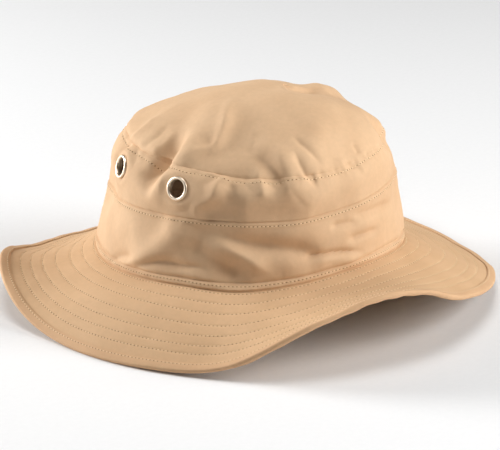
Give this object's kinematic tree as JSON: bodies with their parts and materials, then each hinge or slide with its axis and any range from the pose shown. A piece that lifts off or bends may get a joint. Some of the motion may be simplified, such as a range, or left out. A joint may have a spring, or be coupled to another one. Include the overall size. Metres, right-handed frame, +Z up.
{
  "type": "ranger hat",
  "caption": "Soft cloth ranger hat: domed crown of sewn panels with metal vent eyelets, and a wide stitched brim with a bound edge that rises at the front.",
  "frame": {"origin": "on the floor that the brim rests on, under the middle of the hat's box", "axes": "+Z up; the front of the hat points along -Y and the wearer's left along +X; X is across the hat and Y runs from front to back"},
  "size_m": [0.2926, 0.304, 0.129],
  "materials": {
    "crown_cloth": "tightly woven cotton, faint sheen",
    "brim_cloth": "two layers of woven cotton, stitched in rows",
    "binding_tape": "folded woven tape",
    "eyelet_metal": "nickel-plated, rolled rim"
  },
  "bodies": {
    "root": {"crown_tip": "crown_cloth", "upper_side_band": "crown_cloth", "lower_side_band": "crown_cloth", "brim": "brim_cloth", "brim_binding": "binding_tape", "eyelet_right_back": "eyelet_metal", "eyelet_right_front": "eyelet_metal", "eyelet_left_front": "eyelet_metal", "eyelet_left_back": "eyelet_metal"}
  },
  "joints": []
}
